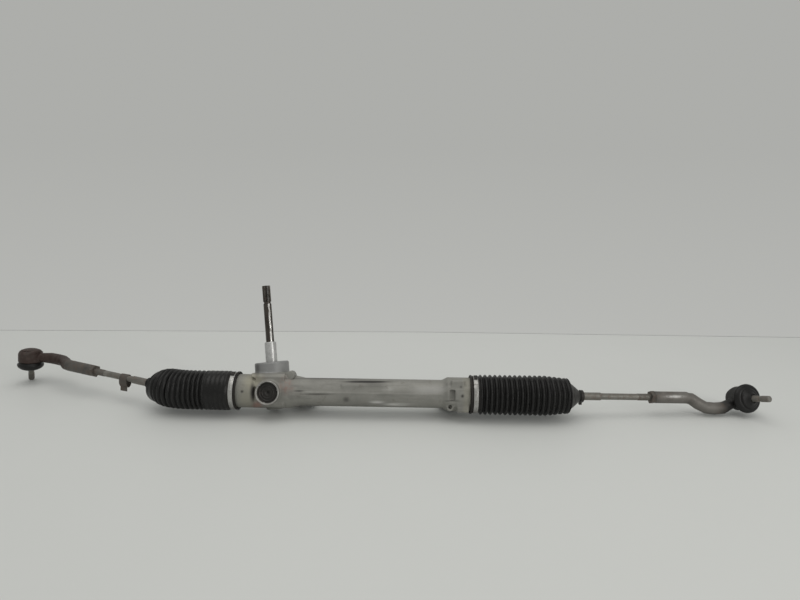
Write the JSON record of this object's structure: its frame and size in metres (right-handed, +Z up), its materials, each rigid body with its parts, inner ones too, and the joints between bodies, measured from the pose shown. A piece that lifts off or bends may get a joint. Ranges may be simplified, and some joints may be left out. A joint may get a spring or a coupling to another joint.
{
  "type": "steering rack",
  "caption": "Manual rack and pinion steering gear in a cast housing, with tilted input shaft, ribbed bellows, and jointed tie rods ending in cranked ball-joint ends.",
  "frame": {"origin": "middle of the whole gear's footprint, on the table it lies on", "axes": "+X to the right along the rack, +Y away from the yoke side, +Z up"},
  "size_m": [1.3088, 0.1764, 0.2042],
  "materials": {
    "cast_aluminium": "dull sand cast, slightly oxidised",
    "machined_steel": "turned and ground",
    "worn_steel": "used steel with light surface rust",
    "forged_steel": "forged, black coating, worn",
    "boot_rubber": "matt black",
    "bush_rubber": "matt black",
    "band_steel": "bright strip",
    "seat_plastic": "off white acetal",
    "plug_steel": "black, turned rings"
  },
  "bodies": {
    "housing": {"rack_housing": "cast_aluminium", "pinion_bearing_outer": "machined_steel", "bearing_retainer": "machined_steel", "pinion_seal": "bush_rubber", "pinion_lower_bush": "seat_plastic", "pinion_lower_cap": "cast_aluminium", "rack_yoke": "machined_steel", "yoke_spring": "machined_steel", "yoke_plug": "plug_steel", "rack_bush": "seat_plastic", "left_mount_rubber": "bush_rubber", "left_mount_sleeve": "machined_steel", "right_mount_rubber": "bush_rubber", "right_mount_sleeve": "machined_steel", "left_boot": "boot_rubber", "right_boot": "boot_rubber", "left_boot_band": "band_steel", "right_boot_band": "band_steel"},
    "rack": {"rack_bar": "machined_steel", "left_inner_socket": "machined_steel", "right_inner_socket": "machined_steel"},
    "pinion": {"pinion_shaft": "worn_steel", "pinion_sleeve": "worn_steel", "pinion_bearing_inner": "machined_steel"},
    "left_inner_pad": {"left_inner_pad": "seat_plastic"},
    "left_inner_ring": {"left_inner_ring": "seat_plastic"},
    "left_rod": {"left_tie_rod": "worn_steel", "left_lock_nut": "worn_steel", "left_outer_end": "forged_steel", "left_head_cap": "worn_steel", "left_dust_boot": "boot_rubber", "left_loose_clip": "band_steel"},
    "left_stud_pad": {"left_stud_pad": "seat_plastic"},
    "left_stud_ring": {"left_stud_ring": "seat_plastic"},
    "left_stud": {"left_ball_stud": "machined_steel"},
    "right_inner_pad": {"right_inner_pad": "seat_plastic"},
    "right_inner_ring": {"right_inner_ring": "seat_plastic"},
    "right_rod": {"right_tie_rod": "worn_steel", "right_lock_nut": "worn_steel", "right_outer_end": "forged_steel", "right_head_cap": "worn_steel", "right_dust_boot": "boot_rubber", "right_neck_clip": "band_steel"},
    "right_stud_pad": {"right_stud_pad": "seat_plastic"},
    "right_stud_ring": {"right_stud_ring": "seat_plastic"},
    "right_stud": {"right_ball_stud": "machined_steel"}
  },
  "joints": [
    {"name": "rack_travel", "type": "slide", "parent": "housing", "child": "rack", "axis": [1, 0, 0], "range_m": [-0.074, 0.055], "deforming": ["left_boot", "right_boot"]},
    {"name": "pinion_spin", "type": "hinge", "parent": "housing", "child": "pinion", "pos_m": [-0.157, -0.03402, 0.03476], "axis": [-0.1045, 0.3073, 0.9458], "range_deg": [-603, 448.5]},
    {"name": "left_rod_swing", "type": "hinge", "parent": "rack", "child": "left_inner_pad", "pos_m": [-0.3138, -0.048, 0.0393], "axis": [0, 0, 1], "range_deg": [-4, 44]},
    {"name": "left_rod_lift", "type": "hinge", "parent": "left_inner_pad", "child": "left_inner_ring", "pos_m": [-0.3138, -0.048, 0.0393], "axis": [0.342, 0.9397, 0], "range_deg": [-26, 22]},
    {"name": "left_rod_spin", "type": "hinge", "parent": "left_inner_ring", "child": "left_rod", "pos_m": [-0.3138, -0.048, 0.0393], "axis": [-0.9391, 0.3418, 0.0349], "range_deg": [-30, 30]},
    {"name": "left_stud_tilt", "type": "hinge", "parent": "left_rod", "child": "left_stud_pad", "pos_m": [-0.63216, 0.06787, 0.05113], "axis": [-0.3341, -0.9322, 0.1391], "range_deg": [-2, 42]},
    {"name": "left_stud_rock", "type": "hinge", "parent": "left_stud_pad", "child": "left_stud_ring", "pos_m": [-0.63216, 0.06787, 0.05113], "axis": [0.8551, -0.3619, -0.3713], "range_deg": [-40, 4]},
    {"name": "left_stud_spin", "type": "hinge", "parent": "left_stud_ring", "child": "left_stud", "pos_m": [-0.63216, 0.06787, 0.05113], "axis": [-0.2738, 0.2929, -0.9161], "continuous": true, "deforming": ["left_dust_boot"]},
    {"name": "right_rod_swing", "type": "hinge", "parent": "rack", "child": "right_inner_pad", "pos_m": [0.2921, -0.048, 0.0393], "axis": [0, 0, 1], "range_deg": [-29.7, 18.3]},
    {"name": "right_rod_lift", "type": "hinge", "parent": "right_inner_pad", "child": "right_inner_ring", "pos_m": [0.2921, -0.048, 0.0393], "axis": [0.0993, -0.9951, 0], "range_deg": [-21.8, 26.2]},
    {"name": "right_rod_spin", "type": "hinge", "parent": "right_inner_ring", "child": "right_rod", "pos_m": [0.2921, -0.048, 0.0393], "axis": [0.9943, 0.0992, -0.0384], "range_deg": [-30, 30]},
    {"name": "right_stud_tilt", "type": "hinge", "parent": "right_rod", "child": "right_stud_pad", "pos_m": [0.62918, -0.01436, 0.02629], "axis": [0.0018, -0.3763, -0.9265], "range_deg": [-5, 39]},
    {"name": "right_stud_rock", "type": "hinge", "parent": "right_stud_pad", "child": "right_stud_ring", "pos_m": [0.62918, -0.01436, 0.02629], "axis": [-0.9198, -0.3642, 0.1462], "range_deg": [-22, 22]},
    {"name": "right_stud_spin", "type": "hinge", "parent": "right_stud_ring", "child": "right_stud", "pos_m": [0.62918, -0.01436, 0.02629], "axis": [0.3925, -0.8519, 0.3468], "continuous": true, "deforming": ["right_dust_boot"]}
  ],
  "couplings": [
    {"joint": "pinion_spin", "follows": "rack_travel", "rad_per_m": 142.07}
  ]
}
